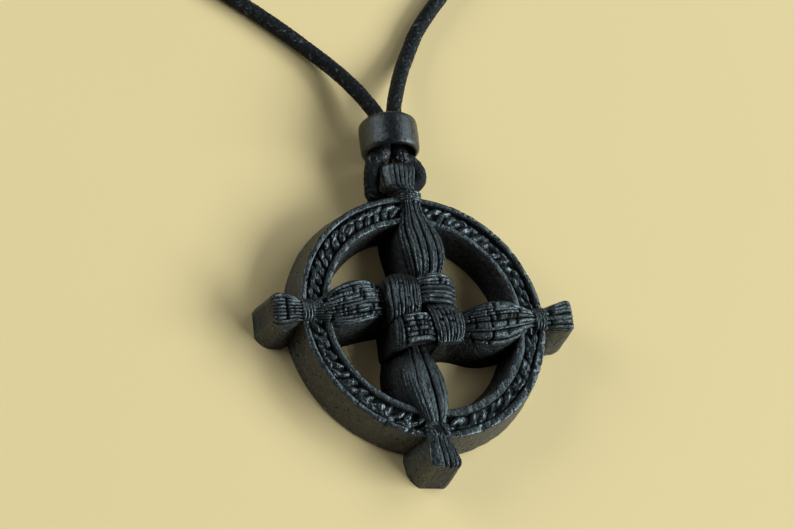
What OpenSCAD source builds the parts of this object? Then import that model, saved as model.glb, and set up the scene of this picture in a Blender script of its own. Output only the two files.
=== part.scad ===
// Carved wooden pendant on a neck cord, in millimetres.
// A cross of four bound reed bundles, woven at the centre, stands in relief on a ring.
// The pendant lies on its flat back, face up. The origin is the ring's centre on the back,
// +Z comes out of the face and +Y points to the tip that the cord passes through.

/* [Ring] */
// Outer radius of the ring's front edge
ring_radius = 16; // [15.5:0.1:16.5]
// How far the outer wall spreads from the front edge to the back
ring_spread = 0.85; // [0.4:0.05:1]
// Inner radius of the ring's front edge
ring_hole = 12.4; // [12.2:0.1:12.8]
// How far the inner wall closes in from the front edge to the back
ring_close = 0.7; // [0.3:0.05:0.8]
// Height of the ring's two lips above the back
ring_height = 4.8; // [4.5:0.1:5]
// Width of the outer and of the inner lip
lip_w = 0.55; // [0.4:0.05:0.7]
// Depth of the groove beside each lip
groove_depth = 0.6; // [0.3:0.05:0.8]
// How far the plaited band between the lips stays below them
plait_drop = 0.1; // [0.05:0.05:0.2]

/* [Arms] */
// Height of the arms at their fullest
arm_height = 6.1; // [5.9:0.05:6.3]
// How much wider an arm is at the back than at its shoulder, on each side
arm_draft = 0.8; // [0.5:0.05:0.9]
// Height of the four end blocks' front faces
tip_height = 5.7; // [5.5:0.05:5.8]
// How far an end block leans out from its front edge to the back
tip_lean = 0.9; // [0.5:0.1:1.1]
// How much wider an end block is at the back, on each side
tip_draft = 1.05; // [0.8:0.05:1.1]

/* [Centre] */
// Height of the four woven squares at their crowns
square_height = 6.6; // [6.4:0.05:6.8]
// Height of the solid core that carries the squares
core_height = 4.6; // [4.2:0.1:4.9]

/* [Cord and bead] */
// Diameter of the cord
cord_d = 2.1; // [1.8:0.05:2.1]
// Diameter of the hole across the top end block
cord_hole_d = 2.6; // [2.4:0.05:2.8]
// Distance of that hole's middle from the ring's centre
cord_hole_y = 18.05; // [18:0.05:18.1]
// Height of that hole's middle above the back
cord_hole_z = 2.45; // [2.4:0.05:2.5]
// Outer diameter of the bead
bead_d = 7.4; // [7.3:0.05:7.5]
// Length of the bead
bead_length = 4.5; // [4.4:0.1:4.6]
// Diameter of the bead's bore, which takes two strands side by side
bead_bore_d = 5.8; // [5.7:0.05:5.9]
// Diameter of the knot that closes the cord's loop
knot_d = 4.4; // [4.2:0.1:4.8]
// Length of that knot
knot_length = 9; // [8:0.5:10]

/* [Hidden] */

$fn = 96;

wood = [0.13, 0.13, 0.125];
bead_black = [0.2, 0.21, 0.22];
cord_black = [0.09, 0.09, 0.1];

// Ring channel, as radii
groove_w = 0.25;
channel_out = ring_radius - lip_w;
channel_in = ring_hole + lip_w;
back_round = 0.3;

// One row for each arm. The first column is the way it points, the next three are how far
// its middle lies to its left at the root, at the binding and at the end, then come its
// half width at its fullest, its end block's half width and that block's reach, the
// distance of its binding's middle and the share of tip_draft that its end block takes.
ARM_TURN = 0;
ARM_ROOT = 1;
ARM_BIND = 2;
ARM_END = 3;
ARM_HALF = 4;
ARM_TIP = 5;
ARM_REACH = 6;
ARM_WAIST = 7;
ARM_DRAFT = 8;
ARMS = [
    [0, -1.1, 0.1, 0.6, 2.95, 2.05, 19.8, 15.4, 1],
    [90, -0.85, 0.4, 1.25, 3, 1.8, 20.4, 16, 0.7],
    [180, -1.7, 0.1, 0.4, 2.8, 2.05, 19.8, 15.3, 1],
    [270, -1.6, -0.4, 0.1, 2.65, 2, 19.9, 15.1, 1]
];

// Profile of every arm from root to binding. The columns are the distance from the centre,
// the share of the full half width and the height of the crest.
PROFILE = [
    [2, 0.7, 5],
    [4, 0.8, 5.3],
    [6, 0.92, arm_height - 0.2],
    [8.5, 1, arm_height],
    [10.5, 0.96, arm_height - 0.05],
    [12.3, 0.83, arm_height - 0.2],
    [13.7, 0.65, arm_height - 0.45]
];
waist_half = 1.4;
waist_back = 2.5;
bind_half = 0.7;
bind_edge = 0.1;
bind_proud = 0.15;
bind_height = 5.4;
tip_base = 17.4;
tip_corner = 0.5;
tip_back_corner = 1.2;
// Height of the arm's shoulder below its crest, and the same on an end block
arm_round = 1.5;
tip_round = 0.45;
crest_steps = 8;

// Woven squares. The columns are the middle's x and y, and the size along x and y.
SQUARES = [
    [-3.2, 2.25, 5.4, 5.4],
    [1.75, 3.35, 5.5, 4.4],
    [2.55, -1.35, 4.9, 5.5],
    [-2.3, -2.55, 5.5, 4.7]
];
// Rings of a square from the back to its crown, as share of its size and height
SQUARE_RISE = [
    [1.12, 0],
    [1, square_height - 1.6],
    [0.95, square_height - 0.9],
    [0.78, square_height - 0.35],
    [0.45, square_height - 0.08]
];
square_power = 4;
square_sides = 24;
core_size = 8;

// The hole for the cord runs aslant: its middle, and its turn and rise to the right
cord_hole_x = -0.85;
cord_hole_turn = 14;
cord_hole_rise = 12;

// Middle of the bead, how round its mouths are, and half the spacing of the two strands at
// its upper and at its lower end
bead_x = -1.5;
bead_y = 24.75;
bead_z = bead_d / 2;
bead_mouth = 0.3;
strands_up = 1.4;
strands_down = 1.5;

// Middle of the knot
knot_x = -9;
knot_y = 271.5;

// Height of the cord's middle where it lies on the surface
lying = cord_d / 2;

// The cord's route from the knot round the loop, through the bead, across the top end
// block, back through the bead and round to the knot again
ROUTE = [
    [knot_x - knot_length / 2, knot_y, knot_d / 2],
    [-21, 270.4, 1.5],
    [-46, 261, lying],
    [-71, 241, lying],
    [-90, 213, lying],
    [-99, 181, lying],
    [-99, 148, lying],
    [-90, 116, lying],
    [-71, 87, lying],
    [-48, 65, lying],
    [-26, 49.3, lying],
    [-15.8, 42.6, lying],
    [-9.2, 37.5, 1.3],
    [-5.8, 33.8, 2.1],
    [-3.8, 30, 3.1],
    [bead_x - strands_up, 26.8, 3.6],
    [bead_x - strands_down, 22.5, 3.5],
    [-4.05, 21.3, 3.7],
    [-4.3, 19.8, 3.5],
    [-4.1, 18.2, 2.6],
    [-3.3, 17.35, 1.9],
    [0.8, 18.45, 2.8],
    [2.05, 19.15, 3],
    [2.25, 20.15, 3.2],
    [1.85, 21, 3.35],
    [0.95, 21.65, 3.45],
    [bead_x + strands_down, 22.7, 3.5],
    [bead_x + strands_up, 26.8, 3.6],
    [0.2, 30.4, 3.1],
    [3.8, 39, 1.25],
    [9.4, 48, lying],
    [32, 76, lying],
    [53, 101, lying],
    [69, 130, lying],
    [77, 161, lying],
    [77, 192, lying],
    [67, 222, lying],
    [48, 247, lying],
    [24, 264.5, lying],
    [3, 270.6, 1.5],
    [knot_x + knot_length / 2, knot_y, knot_d / 2]
];
cord_sides = 8;
route_steps = 2;

// Smooth step from 0 to 1 as a value goes from one bound to another
function ease(value, from, to) =
    let (t = max(0, min(1, (value - from) / (to - from))))
    t * t * (3 - 2 * t);

// How far an arm's middle lies to its left, at a distance from the centre
function aside(arm, along) =
    arm[ARM_ROOT]
    + (arm[ARM_BIND] - arm[ARM_ROOT]) * ease(along, 6, 15.4)
    + (arm[ARM_END] - arm[ARM_BIND]) * ease(along, 15.4, arm[ARM_REACH] + 1);

// One section of an arm: distance at the front and at the back, half width at the shoulder
// and at the back, height of the crest, and height of the shoulder below it
function arm_sections(arm) = concat(
    [for (row = PROFILE) [
        row[0],
        row[0],
        row[1] * arm[ARM_HALF],
        row[1] * arm[ARM_HALF] + arm_draft,
        row[2],
        arm_round
    ]],
    let (
        from = arm[ARM_WAIST] - bind_half,
        to = arm[ARM_WAIST] + bind_half,
        bound_half = waist_half + bind_proud,
        bound_height = bind_height + bind_proud,
        tip_half = arm[ARM_TIP],
        back_half = arm[ARM_TIP] + tip_draft * arm[ARM_DRAFT],
        reach = arm[ARM_REACH]
    )
    [
        [from - bind_edge, from - bind_edge, waist_half, waist_back, bind_height, 1.2],
        [from, from, bound_half, waist_back, bound_height, 1.2],
        [to, to, bound_half, waist_back, bound_height, 1],
        [to + bind_edge, to + bind_edge, waist_half, waist_back, bind_height, 1],
        [tip_base, tip_base, tip_half * 0.82, back_half, tip_height - 0.1, tip_round],
        [
            reach - tip_corner,
            reach - tip_back_corner + tip_lean,
            tip_half,
            back_half,
            tip_height,
            tip_round
        ],
        [
            reach,
            reach + tip_lean,
            tip_half - tip_corner * 0.4,
            back_half - tip_back_corner,
            tip_height - 0.15,
            tip_round
        ]
    ]
);

// Points of one section, from its left back edge over the crest to its right back edge
function section_points(arm, s) =
    let (
        shoulder = s[4] - s[5],
        outline = concat(
            [[s[3], 0]],
            [for (i = [0:crest_steps])
                let (turn = 180 * i / crest_steps)
                [s[2] * cos(turn), shoulder + s[5] * pow(sin(turn), 0.7)]],
            [[-s[3], 0]]
        )
    )
    [for (p = outline) [
        s[1] + (s[0] - s[1]) * min(1, p[1] / s[4]),
        aside(arm, s[0]) + p[0],
        p[1]
    ]];

// A closed solid through rings of points that all have the same count
module loft(rings) {
    n = len(rings[0]);
    last = len(rings) - 1;
    points = [for (ring = rings) each ring];
    walls = [
        for (i = [0:last - 1], j = [0:n - 1])
            let (
                k = (j + 1) % n,
                a = i * n + j,
                b = i * n + k,
                c = (i + 1) * n + k,
                d = (i + 1) * n + j
            )
            each [[c, b, a], [d, c, a]]
    ];
    first_cap = [for (j = [1:n - 2]) [j, j + 1, 0]];
    last_cap = [for (j = [1:n - 2]) [last * n + j + 1, last * n + j, last * n]];
    polyhedron(points, concat(walls, first_cap, last_cap));
}

module arm(row) {
    rotate([0, 0, row[ARM_TURN]])
        loft([for (s = arm_sections(row)) section_points(row, s)]);
}

module square_pad(row) {
    loft([
        for (rise = SQUARE_RISE) [
            for (i = [0:square_sides - 1])
                let (
                    turn = 360 * (i + 0.5) / square_sides,
                    c = cos(turn),
                    s = sin(turn),
                    reach = pow(pow(abs(c), square_power) + pow(abs(s), square_power), -1 / square_power)
                )
                [
                    row[0] + rise[0] * row[2] / 2 * reach * c,
                    row[1] + rise[0] * row[3] / 2 * reach * s,
                    rise[1]
                ]
        ]
    ]);
}

module ring() {
    rotate_extrude()
        polygon([
            [ring_hole - ring_close + back_round, 0],
            [ring_radius + ring_spread - back_round, 0],
            [ring_radius + ring_spread, back_round],
            [ring_radius, ring_height],
            [channel_out, ring_height],
            [channel_out - groove_w, ring_height - groove_depth],
            [channel_out - 3 * groove_w, ring_height - plait_drop],
            [channel_in + 3 * groove_w, ring_height - plait_drop],
            [channel_in + groove_w, ring_height - groove_depth],
            [channel_in, ring_height],
            [ring_hole, ring_height],
            [ring_hole - ring_close, back_round]
        ]);
}

module ringed_cross() {
    color(wood)
        difference() {
            union() {
                ring();
                for (row = ARMS) arm(row);
                for (row = SQUARES) square_pad(row);
                translate([-core_size / 2, -core_size / 2, 0])
                    cube([core_size, core_size, core_height]);
            }
            translate([cord_hole_x, cord_hole_y, cord_hole_z])
                rotate([0, 90 - cord_hole_rise, cord_hole_turn])
                    cylinder(d = cord_hole_d, h = 2 * bead_d, center = true);
        }
}

// Quarter of an ellipse about a point, from one angle to another
function quarter(x, y, wide, high, from) = [
    for (i = [0:4])
        let (turn = from + 90 * i / 4)
        [x + wide * cos(turn), y + high * sin(turn)]
];

module bead() {
    half = bead_length / 2;
    mouth = bead_bore_d / 2 + bead_mouth;
    edge = bead_d / 2 - mouth;
    color(bead_black)
        translate([bead_x, bead_y, bead_z])
            rotate([-90, 0, 0])
                rotate_extrude()
                    polygon(concat(
                        quarter(mouth, -half + bead_mouth, bead_mouth, bead_mouth, 180),
                        quarter(mouth, -half + edge, edge, edge, 270),
                        quarter(mouth, half - edge, edge, edge, 0),
                        quarter(mouth, half - bead_mouth, bead_mouth, bead_mouth, 90)
                    ));
}

// Point of a smooth curve through b and c, with a before them and d after them
function curve(a, b, c, d, t) =
    0.5 * (2 * b + (c - a) * t + (2 * a - 5 * b + 4 * c - d) * t * t
        + (3 * b - a - 3 * c + d) * t * t * t);

function unit(v) = v / norm(v);

module neck_cord() {
    last = len(ROUTE) - 1;
    line = concat(
        [for (i = [0:last - 1], j = [0:route_steps - 1])
            curve(ROUTE[max(0, i - 1)], ROUTE[i], ROUTE[i + 1], ROUTE[min(last, i + 2)],
                j / route_steps)],
        [ROUTE[last]]
    );
    ends = len(line) - 1;
    rings = [
        for (i = [0:ends])
            let (
                way = i == 0 || i == ends ? [-1, 0, 0] : unit(line[i + 1] - line[i - 1]),
                side = unit(cross([0, 0, 1], way)),
                up = cross(way, side)
            )
            [for (k = [0:cord_sides - 1])
                let (turn = 360 * (k + 0.5) / cord_sides)
                line[i] + cord_d / 2 * (side * cos(turn) + up * sin(turn))]
    ];
    color(cord_black) loft(rings);
}

module cord_knot() {
    half = knot_length / 2;
    color(cord_black)
        translate([knot_x, knot_y, knot_d / 2])
            rotate([0, 90, 0])
                rotate_extrude()
                    polygon([
                        [0, -half],
                        [1.4, -half],
                        [knot_d / 2 - 0.3, -half + 1],
                        [knot_d / 2, -half + 2],
                        [knot_d / 2, half - 2],
                        [knot_d / 2 - 0.3, half - 1],
                        [1.4, half],
                        [0, half]
                    ]);
}

ringed_cross();
bead();
neck_cord();
cord_knot();
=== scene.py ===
"""Looks of the carved ringed cross pendant on its neck cord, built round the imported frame.

Shapes are worked out in millimetres and written to the meshes in metres.
"""
import itertools
import math

import bmesh
import bpy
import numpy as np
from mathutils import Matrix, Vector


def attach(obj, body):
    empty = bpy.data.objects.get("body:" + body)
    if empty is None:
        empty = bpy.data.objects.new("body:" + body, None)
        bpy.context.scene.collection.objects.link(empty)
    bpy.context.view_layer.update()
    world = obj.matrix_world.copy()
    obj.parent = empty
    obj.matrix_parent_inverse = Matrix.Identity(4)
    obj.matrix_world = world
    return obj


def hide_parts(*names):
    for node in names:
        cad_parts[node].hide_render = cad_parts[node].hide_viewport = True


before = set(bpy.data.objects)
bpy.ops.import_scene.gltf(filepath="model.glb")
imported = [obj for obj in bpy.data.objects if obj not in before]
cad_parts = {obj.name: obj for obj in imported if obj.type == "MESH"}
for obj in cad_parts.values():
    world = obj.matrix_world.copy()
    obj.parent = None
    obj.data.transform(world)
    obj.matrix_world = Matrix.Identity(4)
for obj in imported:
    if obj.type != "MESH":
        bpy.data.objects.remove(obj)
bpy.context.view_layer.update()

MM = 0.001
TAU = 2 * math.pi

# Sizes and places that several parts of the script share, in millimetres
CORD_D = 2.1
BRAID_PITCH = 1.25
BEAD_MIDDLE = (-1.5, 24.6, 3.8)
BEAD_BORE = 2.9
KNOT_START = (-13.5, 271.5, 2.2)
KNOT_LENGTH = 9.0


# Noise and small curves

def hashed(cells, seed):
    """A fixed value from 0 to 1 for each lattice cell, given as integer arrays."""
    mixed = np.full(cells[0].shape, seed * 7919 + 12345, np.int64)
    for cell, prime in zip(cells, (73856093, 19349663, 83492791)):
        mixed ^= cell * prime
    mixed = (mixed ^ (mixed >> 13)) & 0x7FFFFFFF
    mixed = (mixed * 1274126177) & 0x7FFFFFFFFFFF
    mixed = mixed ^ (mixed >> 17)
    return (mixed & 0xFFFF) / 65535.0


def noise(*coords, seed=0):
    """Smooth noise from -1 to 1, one lattice cell to a unit of each coordinate."""
    coords = np.broadcast_arrays(*[np.asarray(c, float) for c in coords])
    cells = [np.floor(c).astype(np.int64) for c in coords]
    parts = [c - f for c, f in zip(coords, cells)]
    parts = [t * t * (3 - 2 * t) for t in parts]
    total = np.zeros(coords[0].shape)
    for corner in itertools.product((0, 1), repeat=len(coords)):
        weight = np.ones(coords[0].shape)
        for t, k in zip(parts, corner):
            weight *= t if k else 1 - t
        total += weight * hashed([c + k for c, k in zip(cells, corner)], seed)
    return 2 * total - 1


def ease(value, low, high):
    t = np.clip((np.asarray(value, float) - low) / (high - low), 0, 1)
    return t * t * (3 - 2 * t)


def plateau(value, up, flat, edge, down):
    """0 up to the first place, 1 between the second and the third, and 0 from the last."""
    return ease(value, up, flat) * (1 - ease(value, edge, down))


def bell(value, middle, width):
    return np.exp(-(((value - middle) / width) ** 2))


def turns(count):
    """The angles of count even steps round a circle."""
    return np.linspace(0, TAU, count, endpoint=False)


def unit(vectors):
    return vectors / np.linalg.norm(vectors, axis=-1, keepdims=True)


def square_to(way):
    """The two unit vectors square to a way, of which the first is level."""
    side = unit(np.cross([0, 0, 1.0], way))
    return side, np.cross(way, side)


# Meshes

def ring_faces(rings, count, closed=False):
    """Quads between successive rings of count points, and back to the first if closed."""
    here = np.arange(rings if closed else rings - 1)[:, None] * count
    there = (here + count) % (rings * count)
    j = np.arange(count)[None, :]
    k = (j + 1) % count
    return np.stack([here + j, here + k, there + k, there + j], -1).reshape(-1, 4).tolist()


def fan(start, count, centre, flip=False):
    """Triangles between a centre point and the ring of count points that begins at start."""
    j = np.arange(count)
    edge = [start + j, start + (j + 1) % count]
    return np.stack([*(edge[::-1] if flip else edge), np.full(count, centre)], 1).tolist()


def add_object(name, data):
    body = bpy.data.objects.new(name, data)
    bpy.context.scene.collection.objects.link(body)
    return body


def make_mesh(name, points, faces, carve_shade=None, reed=None):
    """A closed mesh object with outward faces. The carve values are 0 in a groove and 1 on a
    crest, and low in cracks and on shaded walls, and they darken the wood's colour: painted
    shade. reed gives the way across and along the reeds in millimetres, then 1 where reeds are."""
    mesh = bpy.data.meshes.new(name)
    mesh.from_pydata((np.asarray(points) * MM).tolist(), [], faces)
    if carve_shade is not None:
        reed = np.zeros((len(points), 3)) if reed is None else reed
        for layer, kind, field, values in (
            ("carve_shade", "FLOAT", "value", carve_shade), ("reed", "FLOAT_VECTOR", "vector", reed)
        ):
            made = mesh.attributes.new(layer, kind, "POINT")
            made.data.foreach_set(field, np.asarray(values, np.float32).ravel())
    shape = bmesh.new()
    shape.from_mesh(mesh)
    bmesh.ops.recalc_face_normals(shape, faces=shape.faces)
    shape.to_mesh(mesh)
    shape.free()
    return add_object(name, mesh)


def capped(name, rings, carves, reeds=None, shrink=(0.82, 0.55, 0.25)):
    """A closed solid through rings of points. Its far end is closed by shrinking rings."""
    rings, carves = list(rings), list(carves)
    last = rings[-1]
    count, middle = len(last), last.mean(0)
    # The closing rings and the two middle points get a carve value of 0.4, which darkens the end
    # faces: painted shade
    for share in shrink:
        rings.append(middle + (last - middle) * share)
        carves.append(np.full(count, 0.4))
    points = np.concatenate(rings + [middle[None], rings[0].mean(0)[None]])
    reed = np.zeros((len(points), 3))
    if reeds is not None:
        reed[:len(reeds) * count] = np.concatenate(reeds)
    tip = len(rings) * count
    faces = ring_faces(len(rings), count)
    faces += fan(tip - count, count, tip) + fan(0, count, tip + 1, flip=True)
    return make_mesh(name, points, faces, np.concatenate(carves + [[0.4, 0.4]]), reed)


def join(base, added, cut):
    """One closed mesh: base with the added solids, less the cut ones."""
    for other, operation in [(o, "UNION") for o in added] + [(o, "DIFFERENCE") for o in cut]:
        step = base.modifiers.new("join", "BOOLEAN")
        step.solver = "MANIFOLD"
        step.operation = operation
        step.object = other
    graph = bpy.context.evaluated_depsgraph_get()
    mesh = bpy.data.meshes.new_from_object(
        base.evaluated_get(graph), preserve_all_data_layers=True, depsgraph=graph
    )
    base.modifiers.clear()
    drop_slivers(mesh, 100)
    base.data = mesh
    for other in added + cut:
        bpy.data.objects.remove(other)
    return base


def drop_slivers(mesh, least):
    """Takes out the loose parts with fewer than least corners, which the joining leaves."""
    shape = bmesh.new()
    shape.from_mesh(mesh)
    left, stray = set(shape.verts), []
    while left:
        part, to_visit = set(), [left.pop()]
        while to_visit:
            vert = to_visit.pop()
            part.add(vert)
            near = {edge.other_vert(vert) for edge in vert.link_edges} & left
            left -= near
            to_visit += near
        if len(part) < least:
            stray += part
    bmesh.ops.delete(shape, geom=stray, context="VERTS")
    shape.to_mesh(mesh)
    shape.free()


def smooth(body, crease_deg):
    """Smooth shading that keeps edges sharper than crease_deg."""
    body.data.shade_smooth()
    body.data.set_sharp_from_angle(angle=math.radians(crease_deg))


# Camera, at the photograph's angle: its azimuth, elevation and roll in degrees

CAMERA_WAY = (42.316, 56.658, 40.373)
CAMERA_DISTANCE = 272.44
CAMERA_TARGET = (-2.3905, 7.2029, 3.5)


def place_camera():
    camera = add_object("camera", bpy.data.cameras.new("camera"))
    camera.data.lens = 100
    camera.data.sensor_width = 36
    camera.data.clip_start = 0.01
    camera.data.clip_end = 20
    pose = Matrix.Translation(Vector(CAMERA_TARGET) * MM)
    azimuth, elevation, roll = (math.radians(v) for v in CAMERA_WAY)
    for angle, axis in ((-azimuth, "Z"), (math.pi / 2 - elevation, "X"), (roll, "Z")):
        pose = pose @ Matrix.Rotation(angle, 4, axis)
    camera.matrix_world = pose @ Matrix.Translation((0, 0, CAMERA_DISTANCE * MM))
    bpy.context.scene.camera = camera


place_camera()


# Materials

class Graph:
    """A node tree with short calls for the nodes that the materials here use."""

    def __init__(self, name):
        self.material = bpy.data.materials.new(name)
        self.material.use_nodes = True
        self.tree = self.material.node_tree
        self.shader = self.tree.nodes["Principled BSDF"]

    def feed(self, socket, value):
        if isinstance(value, bpy.types.NodeSocket):
            self.tree.links.new(value, socket)
        else:
            socket.default_value = value

    def node(self, kind, settings=None, **inputs):
        made = self.tree.nodes.new("ShaderNode" + kind)
        for key, value in (settings or {}).items():
            setattr(made, key, value)
        for key, value in inputs.items():
            self.feed(made.inputs[key.replace("_", " ")], value)
        return made

    def maths(self, operation, first, *others, kind="Math"):
        """The first value put together with each of the others in turn."""
        for other in others:
            made = self.node(kind, {"operation": operation})
            self.feed(made.inputs[0], first)
            self.feed(made.inputs[1], other)
            first = made.outputs[0]
        return first

    def times(self, *values):
        return self.maths("MULTIPLY", *values)

    def plus(self, *values):
        return self.maths("ADD", *values)

    def vector(self, operation, *values):
        return self.maths(operation, *values, kind="VectorMath")

    def axes(self, vector):
        return self.node("SeparateXYZ", Vector=vector).outputs

    def place(self, scale=(1000, 1000, 1000)):
        """The piece's own coordinates, in millimetres unless the scale says otherwise."""
        return self.vector("MULTIPLY", self.node("TexCoord").outputs["Object"], scale)

    def noise(self, vector, scale, detail=2, rough=0.5):
        made = self.node("TexNoise", Vector=vector, Scale=scale, Detail=detail, Roughness=rough)
        return made.outputs["Fac"]

    def cloud(self, *settings):
        """Noise that is spread over the whole way from 0 to 1."""
        return self.span(self.noise(*settings), 0.35, 0.65)

    def span(self, value, low, high, to_low=0, to_high=1):
        made = self.node(
            "MapRange", {"interpolation_type": "SMOOTHSTEP"},
            Value=value, From_Min=low, From_Max=high, To_Min=to_low, To_Max=to_high,
        )
        return made.outputs["Result"]

    def mix(self, share, first, second, blend="MIX"):
        made = self.node("Mix", {"data_type": "RGBA", "blend_type": blend})
        for place, value in ((0, share), (6, first), (7, second)):
            self.feed(made.inputs[place], value)
        return made.outputs[2]

    def finish(self, relief=None, **inputs):
        """The material, with its shader's inputs and its relief, a height in millimetres."""
        if relief is not None:
            bump = self.node("Bump", Strength=1, Distance=MM, Height=relief)
            inputs["Normal"] = bump.outputs["Normal"]
        for key, value in inputs.items():
            self.feed(self.shader.inputs[key.replace("_", " ")], value)
        return self.material


def wood_material():
    g = Graph("carved_wood")
    where = g.place()
    along = g.place((1000, 560, 1000))
    reed = g.node("Attribute", {"attribute_name": "reed"}).outputs["Vector"]
    on_reed = g.span(g.axes(reed)["Z"], 0.3, 0.9)
    facing = g.axes(g.node("NewGeometry").outputs["Normal"])["Z"]
    front = g.span(facing, 0.25, 0.8)
    # The carve values darken the colour as painted shade. The flat back has no grooves, so it is kept
    # at one tone all over
    carve_shade = g.node("Attribute", {"attribute_name": "carve_shade"}).outputs["Fac"]
    carve_shade = g.maths("MAXIMUM", carve_shade, g.span(facing, -0.95, -0.6, 0.85, 0))
    # Fibres along the reeds, and the wood's own grain with pores beside light flecks
    fibre = g.cloud(g.vector("MULTIPLY", reed, (4.2, 0.45, 0)), 1, 3, 0.6)
    broad = g.cloud(where, 0.5)
    lumps = g.cloud(along, 1.1)
    grain = g.cloud(along, 2.2, 4, 0.65)
    specks = g.span(g.noise(where, 2.7, 3, 0.65), 0.54, 0.62)
    pores = g.span(g.noise(along, 2.9, 1), 0.655, 0.7)
    beside = g.vector("ADD", along, (0.09, 0.05, 0.1))
    flecks = g.span(g.noise(beside, 2.9, 1), 0.66, 0.7)
    flecks = g.times(flecks, g.maths("SUBTRACT", 1, pores))
    pores = g.times(pores, g.span(on_reed, 0, 1, 0.9, 0.35))
    tone = g.plus(g.times(broad, 0.45), g.times(grain, 0.55))
    # Up-facing surfaces get a cooler, bluer tone, painted sky reflection, and the walls a warmer one,
    # painted bounce from the floor
    wall = g.mix(tone, (0.007, 0.0068, 0.006, 1), (0.026, 0.025, 0.020, 1))
    face = g.mix(tone, (0.010, 0.011, 0.011, 1), (0.028, 0.030, 0.030, 1))
    colour = g.mix(front, wall, face)
    light_flecks = g.times(flecks, g.span(front, 0, 1, 0.8, 0.3))
    colour = g.mix(light_flecks, colour, (0.16, 0.155, 0.13, 1))
    colour = g.mix(pores, colour, (0.002, 0.002, 0.002, 1))
    # Grooves, cracks, inner walls and the feet of walls are darkened by the carve values: painted
    # shade. The sawn walls have fine light specks
    colour = g.mix(1, colour, g.span(carve_shade, 0.05, 0.75, 0.2, 1), "MULTIPLY")
    light_specks = g.times(specks, g.span(front, 0, 1, 0.5, 0))
    colour = g.mix(light_specks, colour, (0.05, 0.046, 0.036, 1))
    shine = g.span(carve_shade, 0.05, 0.6, 0.12, 0.75)
    uneven = g.plus(g.times(lumps, 0.06), g.times(grain, 0.045))
    uneven = g.times(uneven, g.span(g.maths("MAXIMUM", on_reed, front), 0, 1, 1, 0.35))
    return g.finish(
        Base_Color=colour,
        Roughness=g.plus(
            g.span(front, 0, 1, 0.44, 0.23), g.times(grain, 0.1),
            g.span(carve_shade, 0.1, 0.8, 0.22, 0),
        ),
        Specular_IOR_Level=g.times(shine, g.maths("SUBTRACT", 1, pores)),
        # Up-facing surfaces reflect with a bluish tint: painted sky colour in the highlights
        Specular_Tint=g.mix(front, (1, 1, 1, 1), (0.84, 0.97, 1, 1)),
        relief=g.plus(
            uneven, g.times(pores, -0.06), g.times(specks, g.span(front, 0, 1, 0.035, 0)),
            g.times(flecks, 0.03), g.times(fibre, on_reed, 0.055),
        ),
    )


def bead_material():
    g = Graph("bead_black")
    bands = g.cloud(g.place((200, 2600, 200)), 1, 3, 0.6)
    mottle = g.cloud(g.place(), 2.4, 4, 0.65)
    patch = g.cloud(g.place(), 0.7)
    colour = g.mix(mottle, (0.003, 0.0035, 0.004, 1), (0.016, 0.018, 0.0185, 1))
    # The bore is painted near black, with no specular: painted shade inside the hole
    x, _, z = BEAD_MIDDLE
    from_axis = g.vector("SUBTRACT", g.place((1000, 0, 1000)), (x, 0, z))
    radius = g.node("VectorMath", {"operation": "LENGTH"}, Vector=from_axis).outputs["Value"]
    skin = g.span(radius, BEAD_BORE + 0.1, BEAD_BORE + 0.4)
    return g.finish(
        Base_Color=g.mix(skin, (0.003, 0.003, 0.003, 1), colour),
        Roughness=g.span(patch, 0, 1, 0.19, 0.27),
        Specular_IOR_Level=g.times(skin, 0.6),
        relief=g.plus(g.times(bands, 0.014), g.times(mottle, 0.026)),
    )


def cord_material(name):
    g = Graph(name)
    where = g.place()
    # The braid: threads that slant both ways round the cord, in millimetres
    uv = g.axes(g.node("UVMap", {"uv_map": "braid"}).outputs["UV"])
    around = g.times(uv["X"], math.pi * CORD_D)
    along = g.times(uv["Y"], BRAID_PITCH)
    threads = []
    for lean in (0.62, -0.62):
        c, s = math.cos(lean), math.sin(lean)
        across = g.plus(g.times(around, c), g.times(along, s))
        forth = g.maths("SUBTRACT", g.times(along, c), g.times(around, s))
        spot = g.node("CombineXYZ", X=g.times(across, 2.3), Y=g.times(forth, 0.9), Z=5 * lean)
        threads.append(g.noise(spot.outputs[0], 1, 2, 0.6))
    top = g.maths("MAXIMUM", *threads)
    weave = g.span(top, 0.5, 0.68)
    strands = g.span(top, 0.63, 0.72)
    fuzz = g.cloud(where, 2.6, 4, 0.7)
    # The tone darkens where the threads sink, painted shade between them, and varies with the fuzz
    tone = g.plus(g.times(weave, 0.6), g.times(fuzz, 0.4))
    colour = g.mix(tone, (0.0015, 0.0017, 0.002, 1), (0.022, 0.024, 0.025, 1))
    # Light flecks on the threads' crests: partly lighter fibres, partly painted highlight
    colour = g.mix(g.times(strands, 0.8), colour, (0.125, 0.135, 0.135, 1))
    # The strands shine where they were glued under the bead
    spot = g.axes(where)
    glue = g.times(
        g.span(spot["Y"], 20.9, 21.5), g.span(spot["Y"], 23.2, 22.6),
        g.span(spot["X"], -3.3, -2.6), g.span(spot["X"], 0.9, 0.3),
    )
    drops = g.times(glue, g.span(g.noise(where, 2.3, 1), 0.5, 0.62))
    dull = g.plus(g.span(g.noise(where, 0.5), 0.35, 0.65, 0.48, 0.62), g.times(fuzz, 0.08))
    return g.finish(
        Base_Color=colour,
        Roughness=g.plus(dull, g.times(glue, -0.46)),
        Specular_IOR_Level=g.plus(0.15, g.times(glue, 0.6)),
        relief=g.plus(g.times(weave, 0.06), g.times(fuzz, 0.04), g.times(drops, 0.12)),
    )


def floor_material():
    g = Graph("floor")
    cloud = g.noise(g.place((1, 1, 1)), 14, 2)
    colour = g.mix(cloud, (0.88, 0.635, 0.30, 1), (0.91, 0.665, 0.33, 1))
    return g.finish(Base_Color=colour, Roughness=0.65, Specular_IOR_Level=0.25)


# The carved pendant, close to the sizes of the frame's CAD

RIGHT, TOP, LEFT, BOTTOM = range(4)
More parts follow.
